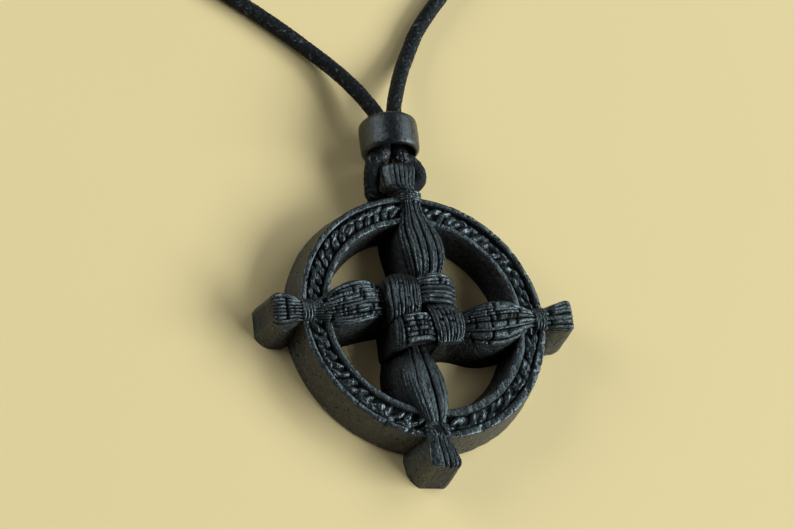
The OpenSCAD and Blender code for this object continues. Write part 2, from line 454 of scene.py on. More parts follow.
# Each arm: its turn in degrees, where its middle lies at the root, the binding and the end,
# its half width and its end block's, how far it reaches, where the binding is, and how
# much the block's walls slope
ARM_KEYS = ("turn", "root", "bind", "end", "half", "tip", "reach", "waist", "draft")
ARMS = [dict(zip(ARM_KEYS, row)) for row in (
    (0, -1.1, 0.1, 0.6, 2.95, 2.05, 19.8, 15.4, 1),
    (90, -1.05, 0, 1.35, 2.8, 2.15, 20.4, 16, 0.35),
    (180, -1.7, 0.1, 0.4, 2.8, 2.05, 19.8, 15.3, 1),
    (270, -1.6, -0.4, 0.1, 2.65, 2, 19.9, 15.1, 1),
)]
# Along an arm: the distance from the centre, the share of its half width, and its height
PROFILE = (
    (2, 0.5, 4.5), (4.3, 0.55, 4.75), (5.4, 0.68, 5.2), (6.6, 0.86, 5.8), (8.5, 1, 6.15),
    (10.3, 0.99, 6.1), (12, 0.83, 5.9), (13.1, 0.62, 5.7), (14.1, 0.46, 5.5),
)
ARM_DRAFT = 1.0
ARM_ROUND = 1.5
WAIST_BACK = 2.5
BIND_HALF = 0.7
BIND_PITCH = (0.38, 0.34, 0.4, 0.56)
TIP_BASE = 17.4
TIP_HEIGHT = 5.7
TIP_LEAN = 0.9
TIP_DRAFT = 1.05
WALLS = 9

# Each arm's reeds: where their grooves lie across the bundle, from the arm's left shoulder
# at 0 to its right one at 1, then the same on its end block, the grooves' depth, how flat
# the reeds are, and how far the grooves wander. weights deepen or fill single grooves of the
# arm, and block_from and block_to say where the reeds begin or end on a block partly bare
REEDS = [
    dict(
        arm=(0, 0.1, 0.205, 0.27, 0.324, 0.385, 0.493, 0.62, 0.676, 0.873, 1),
        block=(0, 0.12, 0.27, 0.416, 0.627, 0.79, 0.94, 1),
        depth=0.24, flat=2.8, wander=0.012,
    ),
    dict(
        arm=(0, 0.1, 0.2, 0.28, 0.36, 0.43, 0.52, 0.62, 0.72, 0.8, 0.88, 0.94, 1),
        weights=(1, 0.4, 1.5, 0.3, 1.5, 0.35, 1.9, 0.3, 1.8, 0.4, 1.5, 0.5, 1),
        block=(0, 0.22, 0.36, 0.5, 0.64, 0.77, 0.89, 1),
        depth=0.28, flat=2.2, wander=0.02, block_from=0.2,
    ),
    dict(
        arm=(0, 0.1, 0.158, 0.233, 0.309, 0.385, 0.461, 0.517, 0.613, 0.689, 0.796, 0.9, 1),
        block=(0, 0.143, 0.268, 0.378, 0.487, 0.61, 0.72, 0.84, 1),
        depth=0.24, flat=2.3, wander=0.012,
    ),
    dict(
        arm=(0, 0.08, 0.16, 0.27, 0.395, 0.56, 0.7, 0.77, 0.84, 0.92, 1),
        weights=(1, 0.4, 0.35, 0.5, 2.1, 0.25, 2.1, 0.35, 0.6, 0.4, 1),
        block=(0, 0.12, 0.23, 0.363, 0.557, 0.71, 1),
        depth=0.29, flat=2.2, wander=0.02, block_to=0.62,
    ),
]
# Cracks across the reeds: distance along the arm, from and to across it, slant and depth
CRACKS = {
    RIGHT: [
        (6.3, 0.385, 0.62, 0.5, 0.15), (8.25, 0.385, 0.62, 0.9, 0.18),
        (8.35, 0.676, 0.873, -1.2, 0.16), (10.6, 0.385, 0.493, -0.5, 0.1),
        (10.4, 0.493, 0.62, -0.5, 0.1), (11.85, 0.385, 0.62, -0.8, 0.14),
        (11.4, 0.385, 0.5, -0.8, 0.08), (10.5, 0.7, 0.8, 0.2, 0.07),
        (5.6, 0.75, 0.83, 0.3, 0.12), (5.95, 0.86, 0.96, 1, 0.14), (7.9, 0.873, 0.96, 1, 0.12),
        (16.65, 0.2, 0.45, 0.8, 0.14), (16.95, 0.2, 0.4, 0.8, 0.1), (16.75, 0.6, 0.8, 0.5, 0.1),
    ],
    LEFT: [(18.15, 0.12, 0.85, 0.1, 0.12), (17.3, 0.3, 0.6, 0.3, 0.05)],
    BOTTOM: [(5.9, 0.655, 0.72, 0, 0.08)],
}


def few_cracks(seed, count, low, high, edges):
    """Short cracks, each over one or two reeds, at places that the seed sets."""
    pick = np.random.RandomState(seed)
    made = []
    for _ in range(count):
        k = pick.randint(1, len(edges) - 3)
        made.append((
            pick.uniform(low, high), edges[k], edges[k + pick.randint(1, 3)],
            pick.uniform(-0.8, 0.8), pick.uniform(0.05, 0.13),
        ))
    return made


CRACKS[LEFT] += few_cracks(5, 34, 5.6, 13.4, REEDS[LEFT]["arm"])
CRACKS[RIGHT] += few_cracks(8, 8, 5.6, 13.4, REEDS[RIGHT]["arm"])


def reed_columns(reeds, columns):
    """For each of the columns, its reed and its place from -1 to 1 across that reed. Every
    groove falls on a column, and the columns stand closer beside it."""
    starts = np.round(np.linspace(0, columns - 1, reeds + 1)).astype(int)
    reed = np.zeros(columns, int)
    across = np.full(columns, 1.0)
    for k in range(reeds):
        here = np.arange(starts[k], starts[k + 1])
        share = (here - starts[k]) / (starts[k + 1] - starts[k])
        share -= 0.1 * np.sin(TAU * share)
        reed[here] = k
        across[here] = 2 * share - 1
    reed[-1] = reeds - 1
    return reed, across


def bundle(edges, columns, along, depth, flat, wander, seed, weights=None):
    """A bundle of reeds: for each column, where it lies across the bundle, how far it
    lies below the smooth skin, and its carve value. weights deepen or fill single grooves."""
    edges = np.asarray(edges, float)
    count = len(edges) - 1
    reed, across = reed_columns(count, columns)
    run = along[:, None]
    sway = wander * noise(run / 2.4, np.arange(count + 1)[None] * 0.7, seed=seed)
    places = np.sort(edges[None] + sway * (1 - (2 * edges - 1) ** 8), 1)
    share = (across + 1) / 2
    q = places[:, reed] * (1 - share) + places[:, reed + 1] * share
    # Each groove has its own depth, which changes along it
    side = np.where(across < 0, reed, reed + 1)
    own = 0.45 + 0.95 * hashed([side, np.zeros(columns, np.int64)], seed + 3)[None]
    own = own + 0.45 * noise(run / 1.3, side[None] * 3.7, seed=seed + 4)
    broad = np.diff(edges)[reed] * count
    own *= np.clip(broad, 0.6, 1.4)[None]
    if weights is not None:
        own *= np.asarray(weights)[side][None]
    reed, across = reed[None], across[None]
    fall = np.abs(across) ** (flat / np.clip(own, 0.7, 2) ** 0.8)
    crest = 1 - fall
    level = hashed([reed[0], np.ones(columns, np.int64)], seed)[None] - 0.5
    fibre = noise(reed * 5.3 + across * 2.6, run / 1.9, seed=seed + 1)
    ripple = noise(reed * 2.3 + across * 1.3, run / 0.45, seed=seed + 2)
    split = np.abs(noise(reed * 3.1 + across * 0.9, run / 2.2, seed=seed + 5))
    split = np.clip(1 - split / 0.13, 0, 1)
    out = -depth * np.clip(own, 0.2, 2.2) * fall + 0.1 * level * crest
    out += (0.04 * fibre + 0.014 * ripple - 0.07 * split) * crest
    out -= 0.06 * across ** 2
    narrow = 0.6 + flat / np.clip(own, 0.7, 2) ** 0.9
    # The carve value falls in the grooves and along splits, so the colour is darker there: painted
    # shade
    carve_shade = 1 - np.abs(across) ** narrow * np.clip(own, 0.4, 1.15)
    carve_shade -= 0.7 * split * crest
    return q, out, np.clip(carve_shade * (0.85 + 0.22 * fibre), 0, 1)


def cracks_depth(q, along, cracks, seed):
    """Depth of the cracks across a bundle."""
    out = np.zeros(np.broadcast(q, along).shape)
    waver = 0.05 * noise(q * 40, along / 2, seed=seed)
    for at, low, high, slant, deep in cracks:
        middle = at + slant * (q - (low + high) / 2) + waver
        inside = plateau(q, low - 0.012, low + 0.012, high - 0.012, high + 0.012)
        out = np.maximum(out, 2.3 * deep * inside * bell(along, middle, 0.15))
    return out


def arm_rows(arm):
    """Sections of an arm as the CAD has them: front and back distance, half width at the
    shoulder and at the back, crest height and the shoulder's depth below it."""
    low, high = arm["waist"] - BIND_HALF, arm["waist"] + BIND_HALF
    tip, reach = arm["tip"], arm["reach"]
    back = tip + TIP_DRAFT * arm["draft"]
    rows = [
        (x, x, share * arm["half"], (0.4 + 0.6 * share) * arm["half"] + ARM_DRAFT, crest, ARM_ROUND)
        for x, share, crest in PROFILE
    ]
    rows += [
        (low - 0.1, low - 0.1, 1.25, WAIST_BACK, 5.35, 1.2),
        (low, low, 1.45, WAIST_BACK, 5.55, 1.2),
        (high, high, 1.45, WAIST_BACK, 5.55, 1),
        (high + 0.1, high + 0.1, 1.35, WAIST_BACK, 5.4, 1),
        (TIP_BASE, TIP_BASE, tip * 0.84, back, TIP_HEIGHT - 0.1, 0.3),
        (reach - 0.9, reach - 0.8, tip, back - 0.1, TIP_HEIGHT, 0.3),
        (reach - 0.45, reach - 0.05, tip - 0.05, back - 0.45, TIP_HEIGHT, 0.3),
        (reach - 0.15, reach + 0.5, tip - 0.2, back - 0.95, TIP_HEIGHT - 0.1, 0.35),
        (reach, reach + TIP_LEAN, tip - 0.5, back - 1.6, TIP_HEIGHT - 0.35, 0.4),
    ]
    return np.array(rows)


def rounded_table(rows, at, waist):
    """The rows' columns at the distances at, rounded off more on the arm than on its block."""
    step = 0.02
    fine = np.arange(-1, 25, step)
    share = ease(at, waist - 2.4, waist - 1.2)
    out = []
    for column in range(1, rows.shape[1]):
        raw = np.interp(fine, rows[:, 0], rows[:, column])
        if column == 1:
            # The back's distance runs on past both ends
            raw += fine - np.clip(fine, rows[0, 0], rows[-1, 0])
        versions = []
        for width in (0.5, 0.07):
            reach = np.arange(-4 * width, 4 * width + step / 2, step)
            kernel = np.exp(-0.5 * (reach / width) ** 2)
            padded = np.pad(raw, len(reach), mode="edge")
            soft = np.convolve(padded, kernel / kernel.sum(), mode="same")
            versions.append(np.interp(at, fine, soft[len(reach):-len(reach)]))
        out.append(versions[0] * (1 - share) + versions[1] * share)
    return out


def crest_points(half, crest, rise, q):
    """The points of an arm's crest at the shares q of its length, the way out of each, and
    that length."""
    turn = np.linspace(0, math.pi, 401)
    y = half * np.cos(turn)
    z = crest - rise + rise * np.sin(turn) ** 0.7
    length = np.concatenate([[0], np.cumsum(np.hypot(np.diff(y), np.diff(z)))])
    y, z = (np.interp(q * length[-1], length, v) for v in (y, z))
    slope_y, slope_z = np.gradient(y), np.gradient(z)
    size = np.hypot(slope_y, slope_z)
    return y, z, slope_z / size, -slope_y / size, length[-1]


def binding(index, x, q, reeds_out, reeds_carve):
    """A few turns of twine with a rough skin: how far they stand out, and their carve value."""
    past = x - ARMS[index]["waist"]
    lean = 0.25 * (q - 0.5) * (1 if index % 2 else -1)
    shaky = 0.04 * noise(q * 7, seed=index)
    wind = np.abs(np.sin(math.pi * (past + lean + shaky) / BIND_PITCH[index]))
    out = 0.14 * (wind ** 0.7 - 0.75) + 0.04 * noise(q * 14, x / 0.25, seed=30 + index)
    # Lower between the turns, so the colour darkens there: painted shade
    carve_shade = np.clip(wind, 0.1, 0.9)
    if index == BOTTOM:
        # The reeds run on between two rolled ends of the twine
        between = bell(q, 0.5, 0.24)
        out = out * (1 - between) + reeds_out * between
        out = out + 0.24 * (bell(q, 0.14, 0.1) + bell(q, 0.86, 0.1)) - 0.05
        carve_shade = carve_shade * (1 - between) + reeds_carve * between
    return out, carve_shade


def wall_rough(x, z, seed):
    """The tool marks on an arm's wall, at the distance x and the heights z."""
    rough = 0.05 * noise(x / 0.9, z / 0.9, seed=seed)
    rough += 0.02 * noise(x / 0.25, z / 0.3, seed=seed + 1)
    return rough * ease(z, 0, 0.5)


def block_reeds(index, q):
    """1 where an end block has reeds and 0 where it is bare."""
    low, high = REEDS[index].get("block_from", -1), REEDS[index].get("block_to", 2)
    return plateau(q, low - 0.03, low + 0.03, high - 0.04, high + 0.04)


def arm_solid(index):
    arm, reeds = ARMS[index], REEDS[index]
    waist, reach = arm["waist"], arm["reach"]
    at = np.concatenate([
        np.linspace(2, 4.4, 5),
        np.arange(4.5, waist - 0.9, 0.125 if index == RIGHT else 0.155),
        np.arange(waist - 0.9, waist + 0.9, 0.055),
        np.arange(waist + 0.9, reach - 0.9, 0.15),
        np.linspace(reach - 0.9, reach, 12),
    ])
    back_at, half, back_half, crest, rise = rounded_table(arm_rows(arm), at, waist)
    # The top end block steps out to the left all at once
    block_turn = (16.4, 17.4) if index == TOP else (15.4, reach + 1)
    middle = (
        arm["root"]
        + (arm["bind"] - arm["root"]) * ease(at, 6, 15.4)
        + (arm["end"] - arm["bind"]) * ease(at, *block_turn)
    )
    columns = 7 * (len(reeds["arm"]) - 1) + 1
    depth, flat = reeds["depth"], reeds["flat"]
    q_arm, out_arm, carve_arm = bundle(
        reeds["arm"], columns, at, depth, flat, reeds["wander"], 11 * index + 3,
        reeds.get("weights"),
    )
    q_block, out_block, carve_block = bundle(
        reeds["block"], columns, at, depth * 0.95, flat, 0.012, 11 * index + 7
    )
    bare = block_reeds(index, q_block)
    out_block, carve_block = out_block * bare, 0.7 + (carve_block - 0.7) * bare
    c, s = math.cos(math.radians(arm["turn"])), math.sin(math.radians(arm["turn"]))
    rings, carves, reed_rings = [], [], []
    for i, x in enumerate(at):
        before = 1 - ease(x, waist - 0.86, waist - 0.62)
        after = ease(x, waist + 0.62, waist + 0.86)
        bound = 1 - after - before
        turned = ease(x, waist - 0.6, waist + 0.6)
        q = q_arm[i] * (1 - turned) + q_block[i] * turned
        y, z, out_y, out_z, length = crest_points(half[i], crest[i], rise[i], q)
        out_bind, carve_bind = binding(index, x, q, out_arm[i], carve_arm[i])
        deep = cracks_depth(q, x, CRACKS.get(index, []), index)
        hem = plateau(q, 0, 0.045, 0.955, 1)
        out = out_arm[i] * before + out_bind * bound + out_block[i] * after
        out = (out - deep) * hem
        carve_shade = carve_arm[i] * before + carve_bind * bound + carve_block[i] * after
        # Cracks darken the colour: painted shade in them
        carve_shade *= 1 - np.clip(deep / 0.13, 0, 0.97)
        y, z = y + out_y * out, z + out_z * out
        if index == TOP:
            # The left side of the top end block is a plain bevel
            z -= after * np.clip(1 - q / 0.22, 0, 1)
        # Walls and back
        share = np.linspace(0, 1, WALLS + 1)[:-1]
        wall_y = back_half[i] + (half[i] - back_half[i]) * share
        wall_z = (crest[i] - rise[i]) * share
        left = wall_y + wall_rough(x, wall_z, 50 + index)
        right = -(wall_y + wall_rough(x, wall_z, 60 + index))[::-1]
        floor_y = np.linspace(-back_half[i], back_half[i], 6)[1:-1]
        ring_y = np.concatenate([left, y, right, floor_y]) + middle[i]
        ring_z = np.concatenate([wall_z, z, wall_z[::-1], np.zeros(4)])
        ring_x = back_at[i] + (x - back_at[i]) * np.clip(ring_z / crest[i], 0, 1)
        rings.append(np.stack([ring_x * c - ring_y * s, ring_x * s + ring_y * c, ring_z], 1))
        # Inside the ring the walls darken toward their foot: painted shade
        outside = ease(x, 14.5, 16)
        wall = (0.08 + 0.34 * ease(wall_z, 0.5, 4)) * (1 - outside) + 0.9 * outside
        carves.append(np.concatenate([wall, carve_shade, wall[::-1], np.full(4, 0.3)]))
        on_reed = (before + after * bare[i]) * plateau(q, 0, 0.04, 0.96, 1)
        reed_ring = np.zeros((len(ring_y), 3))
        reed_ring[WALLS:WALLS + columns] = np.stack([
            q * length + 20 * index, np.full(columns, x), on_reed
        ], 1)
        reed_rings.append(reed_ring)
    return capped(f"arm_{index}", rings, carves, reed_rings)


# Woven squares. Each is a strap of reeds with one end under its neighbour's edge and one
# free end that curls down. under and free are the left and right corners of those ends as
# one looks from the first to the second, bulge is how far the left side, the right side and
# the free end swell out, and curl is how far the free end comes down. cracks is a number of
# random cracks, and more has others
SQUARES = [
    dict(under=((-5.0, -1.3), (-0.95, -0.6)), free=((-5.3, 4.3), (-0.65, 4.5)),
         bulge=(0.3, 0.1, 0.62), curl=1.0, count=10, depth=0.2, flat=2.3, end_lines=0, cracks=4),
    dict(under=((-1.3, 4.55), (-1.3, 1.0)), free=((3.25, 5.25), (3.6, 0.85)),
         bulge=(0.3, 0.02, 0.6), curl=0.9, count=8, depth=0.24, flat=2.2, end_lines=0, cracks=4),
    dict(under=((3.5, 1.45), (-0.4, 1.3)), free=((4.2, -3.6), (0.95, -3.95)),
         bulge=(0.72, -0.05, 0.15), curl=0.8, count=9, depth=0.2, flat=2.2, end_lines=0, cracks=4),
    dict(under=((0.75, -3.75), (0.6, -0.25)), free=((-4.55, -4.8), (-4.55, -0.85)),
         bulge=(0.05, 0.32, 0.1), curl=0.45, count=6, depth=0.2, flat=3, end_lines=3,
         cracks=13, more=[(1.62, 0, 1, 0.3, 0.17)]),
]
# The wall of a square, from just below its rim down to the back: the share of the height,
# and how far it spreads
SQUARE_WALL = ((0.93, 1.012), (0.84, 1.025), (0.7, 1.045), (0.5, 1.075), (0.28, 1.11), (0, 1.15))
SQUARE_ROWS = 52


def square_top(index):
    """The carved top of a square by rows and columns: points, carve values and reed values."""
    pad = SQUARES[index]
    under, free = np.array(pad["under"]), np.array(pad["free"])
    ahead = free.mean(0) - under.mean(0)
    run_length = np.linalg.norm(ahead)
    v = np.linspace(-1, 1, SQUARE_ROWS)
    if pad["end_lines"]:
        v += 0.12 * np.sin(math.pi * v)
    run = v * run_length / 2
    widths = np.random.RandomState(70 + index).uniform(0.5, 1.5, pad["count"])
    edges = np.concatenate([[0], np.cumsum(widths) / widths.sum()])
    columns = 7 * pad["count"] + 1
    q, out, carve_shade = bundle(edges, columns, run, pad["depth"], pad["flat"], 0.022, 80 + index)
    v, run = (np.repeat(a[:, None], columns, 1) for a in (v, run))
    u = 2 * q - 1
    share_v, share_u = (v[..., None] + 1) / 2, q[..., None]
    place = (1 - share_v) * ((1 - share_u) * under[0] + share_u * under[1])
    place += share_v * ((1 - share_u) * free[0] + share_u * free[1])
    # The sides and the free end swell out
    width = np.linalg.norm(free[1] - free[0])
    right = (free[1] - free[0]) / width
    left_out, right_out, end_out = pad["bulge"]
    swell = (right_out * q - left_out * (1 - q)) * (1 - v ** 2)
    place += swell[..., None] * right
    swell = end_out * (1 - np.abs(u) ** 2.4) * ((v + 1) / 2) ** 2
    place += swell[..., None] * (ahead / run_length)
    z = 6.6 - 0.42 * np.abs(u) ** 2.4 - 0.3 * np.abs(u) ** 12
    z -= pad["curl"] * np.clip((v - 0.2) / 0.8, 0, 1) ** 2.4
    z -= np.clip((-v - 0.42) / 0.58, 0, 1) ** 1.6
    if pad["end_lines"]:
        # The flank of the free end, with lines along its edge
        fold = ease(v, 0.65, 0.7)
        z -= 1.35 * (1 - np.sqrt(np.clip(1 - np.clip((v - 0.62) / 0.38, 0, 1) ** 2, 0, 1)))
        lines = np.abs(np.sin(math.pi * (v - 0.67) / 0.33 * pad["end_lines"] + 0.5 * u)) ** 0.7
        out = out * (1 - fold) + fold * 0.2 * (lines - 1)
        # The lines' grooves darken the colour: painted shade
        carve_shade = carve_shade * (1 - fold) + fold * np.clip(lines, 0.12, 1)
    cracks = few_cracks(91 + index, pad["cracks"], -2, 1.4, edges.tolist()) + pad.get("more", [])
    deep = cracks_depth(q, run, cracks, 4)
    # Cracks darken the colour: painted shade in them
    out, carve_shade = out - deep, carve_shade * (1 - np.clip(deep / 0.12, 0, 0.95))
    if not pad["end_lines"]:
        out *= 1 - 0.6 * ease(v, 0.86, 1)
    shape = np.concatenate([place, z[..., None]], -1)
    normal = unit(np.cross(np.gradient(shape, axis=1), np.gradient(shape, axis=0)))
    normal *= np.sign(normal[SQUARE_ROWS // 2, columns // 2, 2])
    reed = np.stack([q * width + 100 + 20 * index, run, np.ones(q.shape)], -1)
    return shape + normal * out[..., None], carve_shade, reed


def square_solid(index):
    pad = SQUARES[index]
    shape, carve_shade, reed_top = square_top(index)
    top, carve_top = shape.reshape(-1, 3), carve_shade.reshape(-1)
    grid = np.arange(carve_shade.size).reshape(carve_shade.shape)
    faces = np.stack([grid[:-1, :-1], grid[1:, :-1], grid[1:, 1:], grid[:-1, 1:]], -1)
    faces = faces.reshape(-1, 4).tolist()
    border = np.concatenate([grid[:-1, 0], grid[-1, :-1], grid[:0:-1, -1], grid[0, :0:-1]])
    loop = len(border)
    middle = (np.mean(pad["under"], 0) + np.mean(pad["free"], 0)) / 2
    middle = np.append(middle, 0)
    # The walls are cut smooth: the grooves fade out just below the rim
    rim = top[border]
    even_rim = sum(np.roll(rim, step, 0) for step in (-8, 8, -4, 4, 0)) / 5
    points, carves, previous, start = [top], [carve_top], border, len(top)
    for part, spread in SQUARE_WALL:
        blend = min(1.0, (1 - part) / 0.16)
        lower = rim * (1 - blend) + even_rim * blend
        points.append(middle + (lower - middle) * [spread, spread, part])
        # Down the walls the colour darkens toward the foot: painted shade
        carves.append(carve_top[border] * (1 - blend) + (0.08 + 0.36 * part) * blend)
        now = np.arange(start, start + loop)
        faces += np.stack([previous, np.roll(previous, -1), np.roll(now, -1), now], -1).tolist()
        previous, start = now, start + loop
    faces += fan(start - loop, loop, start)
    points = np.concatenate(points + [middle[None]])
    reed = np.zeros(points.shape)
    reed[:len(top)] = reed_top.reshape(-1, 3)
    return make_mesh(f"square_{index}", points, faces, np.concatenate(carves + [[0.5]]), reed)


# Ring

RING_OUT = 16.0
RING_STEPS = 560
BED = 4.05
BAND_POINTS = 22
BAND_MIDDLE = 14.3
# The ring's section as radius and height: from the middle of the back up the outer wall and
# over the outer lip to the plaited band, and from the band over the inner lip to the back
RING_OUTER = [
    (12, 0), (13.5, 0), (15.2, 0), (16.55, 0), (16.75, 0.08), (16.85, 0.3),
    (16.73, 0.95), (16.61, 1.6), (16.49, 2.25), (16.37, 2.9), (16.25, 3.5), (16.14, 4.05),
    (16.06, 4.5), (16.03, 4.68), (15.97, 4.77), (15.86, 4.8), (15.66, 4.81), (15.46, 4.8),
    (15.38, 4.74), (15.34, 4.5), (15.3, 4.2), (15.26, BED),
]
RING_INNER = [
    (13.3, 4.08), (13.24, 4.15), (13.19, 4.4), (13.15, 4.68), (13.09, 4.78), (12.96, 4.8),
    (12.68, 4.8), (12.5, 4.78), (12.43, 4.7), (12.38, 4.45), (12.28, 3.7), (12.16, 2.9),
    (12.03, 2.0), (11.88, 1.1), (11.74, 0.3), (11.82, 0.06),
]
# Nicks in the outer lip: angle in degrees, width and depth
NICKS = ((-69.0, 0.9, 0.22), (-37.9, 0.6, 0.3), (-26.9, 0.8, 0.35), (-105.2, 0.8, 0.2),
         (-115.7, 1.4, 0.3), (62, 0.8, 0.1), (150, 0.7, 0.12))


def away_from(angle, middle):
    """How far the angle lies from the middle one, from minus half a turn to half a turn."""
    return (angle - middle + math.pi) % TAU - math.pi


def worn_quarter(angle):
    """1 at the lower right, where the ring is worn down between broader lips, else 0."""
    return plateau(angle, 4.75, 5.0, 5.95, 6.2)


def plait(radius, angle):
    """Height of the plaited band above its bed: two rows of broad leaf-shaped lobes that
    meet in narrow clefts."""
    best = np.zeros(radius.shape)
    draw = np.random.RandomState(41).uniform
    count = 62
    for k in range(count):
        at = TAU * (k + draw(-0.25, 0.25)) / count
        # Middle radius, angle, half length, half width, slant and height
        rows = (
            (14.76 + draw(-0.1, 0.1), at + 0.045 + draw(-0.012, 0.012),
             draw(0.85, 1.2), draw(0.38, 0.52), -0.3 + draw(-0.25, 0.25),
             draw(0.36, 0.72)),
            (13.95 + draw(-0.1, 0.12), at, draw(0.85, 1.15),
             draw(0.38, 0.54), -0.75 + draw(-0.25, 0.25), draw(0.4, 0.76)),
        )
        for middle, turn, long, wide, slant, high in rows:
            away = away_from(angle, turn)
            near = np.abs(away) < 0.15
            along = away[near] * middle
            off = radius[near] - middle
            c, s = math.cos(slant), math.sin(slant)
            a, b = along * c + off * s, -along * s + off * c
            b += 0.12 * np.sin(a * 1.8 + k)
            inside = 1 - np.abs(a / long) ** 1.8 - np.abs(b / wide) ** 1.5
            lobe = high * np.clip(inside, 0, None) ** 0.5 + 0.12 * a / long * (inside > 0)
            lobe -= 0.09 * bell(b, 0.2 * math.sin(k * 2.3), 0.05) * (inside > 0.05)
            best[near] = np.maximum(best[near], lobe)
    return best


def carve_band(radius, height, carve_shade, angle):
    """Sets out the plaited band between the lips and carves it, in the ring's own tables."""
    first = len(RING_OUTER)
    last = first + BAND_POINTS
    band = slice(first, last)
    worn = worn_quarter(angle)
    radius[:, first - 5:first] -= 0.26 * worn[:, first - 5:first]
    radius[:, last:last + 5] += 0.26 * worn[:, last:last + 5]
    share = np.linspace(0.03, 0.97, BAND_POINTS)[None]
    radius[:, band] = radius[:, first - 1:first] * (1 - share) + radius[:, last:last + 1] * share
    r, a, worn = radius[:, band], angle[:, band], worn[:, band]
    # At the upper right it is low
    low = bell(away_from(a, 0.8), 0, 0.5)
    raised = plait(r, a) * (1 - 0.72 * worn - 0.35 * low)
    knobs = noise(r / 0.3, a * BAND_MIDDLE / 0.3, seed=9)
    swells = noise(a * BAND_MIDDLE / 1.1, r / 0.8, seed=24)
    height[:, band] += 0.1 + 0.95 * raised + 0.09 * knobs
    height[:, band] += worn * (0.12 + 0.2 * swells)
    # The colour darkens in the clefts between lobes, in the worn hollows and in the narrow grooves
    # beside the lips: painted shade
    carve_shade[:, band] = np.clip((raised - 0.05) / (0.42 - 0.3 * worn), 0.08, 1)
    carve_shade[:, band] *= 1 - 0.7 * worn * ease(-swells, 0, 0.5)
    carve_shade[:, first - 3:first] = 0.12
    carve_shade[:, last:last + 3] = 0.12


def ring_solid():
    # The band's radii follow from the lips on both sides of it
    profile = np.array(RING_OUTER + [(0, BED)] * BAND_POINTS + RING_INNER)
    count = len(profile)
    angle = np.repeat(turns(RING_STEPS)[:, None], count, 1)
    radius, height = (np.repeat(profile[None, :, k], RING_STEPS, 0) for k in (0, 1))
    carve_shade = np.full(radius.shape, 0.85)
    carve_band(radius, height, carve_shade, angle)
    # The inner wall below the lip gets a low carve value, which darkens it: painted shade
    carve_shade = np.where((radius < 12.36) & (height < 4.5), 0.3, carve_shade)
    # Wavering lips, and walls with the marks of the saw and the file
    arc = angle * radius
    waver = 0.025 * noise(arc / 2.2, radius * 2, seed=14)
    waver += 0.012 * noise(arc / 0.5, radius * 3, seed=15)
    scratch = 0.08 * np.clip(noise(arc / 0.9, radius / 0.2, seed=18) - 0.5, 0, 1)
    waver += 0.07 * worn_quarter(angle) * noise(arc / 1.3, seed=23)
    lips = (height > 4.6) & ((radius > 15.4) | (radius < 13.1))
    height += np.where(lips, waver - scratch - 0.02, 0)
    rough = 0.05 * noise(arc / 1.2, height / 1.1, seed=16)
    rough += 0.025 * noise(arc / 0.3, height / 0.3, seed=17)
    walls = ((radius > 15.8) | (radius < 12.6)) & (height > 0.2)
    radius += np.where(walls, rough, 0)
    draw = np.random.RandomState(19).uniform
    small = tuple((draw(0, 360), draw(0.3, 0.7), draw(0.04, 0.13)) for _ in range(26))
    for at, wide, deep in NICKS + small:
        away = away_from(angle, math.radians(at)) * RING_OUT
        dip = deep * bell(away, 0, wide * 0.3)
        rim = ease(radius, 15.3, 15.9) * ease(height, 3.6, 4.6)
        height -= dip * rim
        radius -= 0.5 * dip * rim
        # Nicks darken the colour: painted shade in them
        carve_shade *= 1 - 0.7 * np.clip(dip / 0.2, 0, 1) * rim
    points = np.stack([radius * np.cos(angle), radius * np.sin(angle), height], -1)
    faces = ring_faces(RING_STEPS, count, closed=True)
    return make_mesh("ringed_cross_carved", points.reshape(-1, 3), faces, carve_shade.reshape(-1))


def box_solid(name, size, height):
    h = size / 2
    corners = [(x, y, z) for z in (0, height) for x, y in ((-h, -h), (h, -h), (h, h), (-h, h))]
    faces = [[0, 3, 2, 1], [4, 5, 6, 7], [0, 1, 5, 4], [1, 2, 6, 5], [2, 3, 7, 6], [3, 0, 4, 7]]
    # A low carve value, so any face of it that shows is dark: painted shade
    return make_mesh(name, corners, faces, np.full(8, 0.1))


# The cross hole of the top end block, aslant as in the CAD: its middle, radius and half
# length, then how far it turns and rises in degrees
HOLE_MIDDLE = (-0.85, 18.05, 2.45)
HOLE_RADIUS = 1.3
HOLE_HALF = 7.4
HOLE_TURN = 14
HOLE_RISE = 12
HOLE_SIDES = 48


def hole_solid():
    turn, rise = math.radians(HOLE_TURN), math.radians(HOLE_RISE)
    way = np.array([math.cos(rise) * math.cos(turn), math.cos(rise) * math.sin(turn), math.sin(rise)])
    side, up = square_to(way)
    angle = turns(HOLE_SIDES)[:, None]
    rings = [
        HOLE_MIDDLE + way * d + HOLE_RADIUS * (side * np.cos(angle) + up * np.sin(angle))
        for d in (-HOLE_HALF, HOLE_HALF)
    ]
    # The hole's wall gets a low carve value, so it is dark inside: painted shade
    return capped("cord_hole", rings, [np.full(HOLE_SIDES, 0.15)] * 2, shrink=())


def make_pendant():
    ring = ring_solid()
    added = [solid(i) for solid in (arm_solid, square_solid) for i in range(4)]
    added.append(box_solid("core", 8, 4.6))
    pendant = join(ring, added, [hole_solid()])
    smooth(pendant, 42)
    pendant.data.materials.clear()
    pendant.data.materials.append(wood_material())
    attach(pendant, "root")
    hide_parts("ringed_cross")


# Bead

